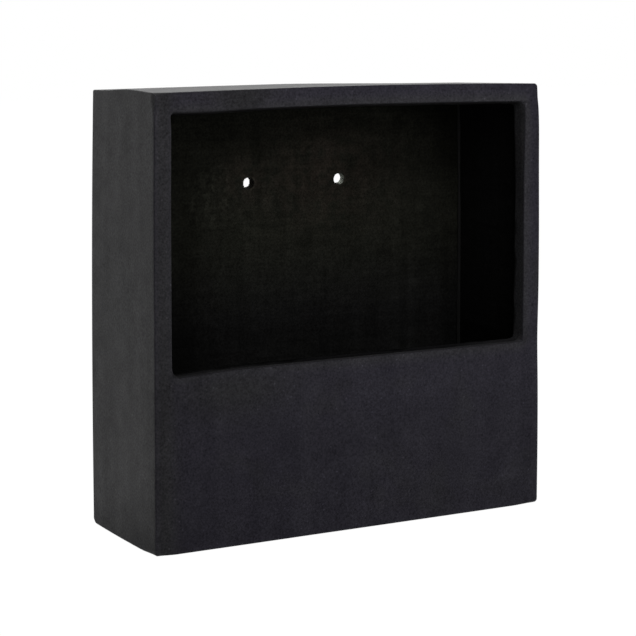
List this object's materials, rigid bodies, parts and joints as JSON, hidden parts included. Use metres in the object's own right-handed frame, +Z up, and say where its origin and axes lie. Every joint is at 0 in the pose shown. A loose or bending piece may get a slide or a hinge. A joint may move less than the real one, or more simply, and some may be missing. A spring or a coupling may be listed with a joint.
{
  "type": "wall planter",
  "caption": "Shallow square wall planter in dark fibre stone, with a wide window in its upper front, a trough below and screw holes in its back.",
  "frame": {"origin": "middle of the base, on the surface that the planter stands on", "axes": "+Z up, the window faces -Y, the back goes against the wall at +Y, +X to the right seen from the front"},
  "size_m": [0.4024, 0.134, 0.402],
  "materials": {
    "fibre_stone": "matte, finely speckled",
    "coated_fibre_stone": "brushed-on dark coat",
    "seam_resin": "matte"
  },
  "bodies": {
    "root": {"planter_shell": "fibre_stone", "back_panel": "coated_fibre_stone", "seam_bead": "seam_resin"}
  },
  "joints": []
}
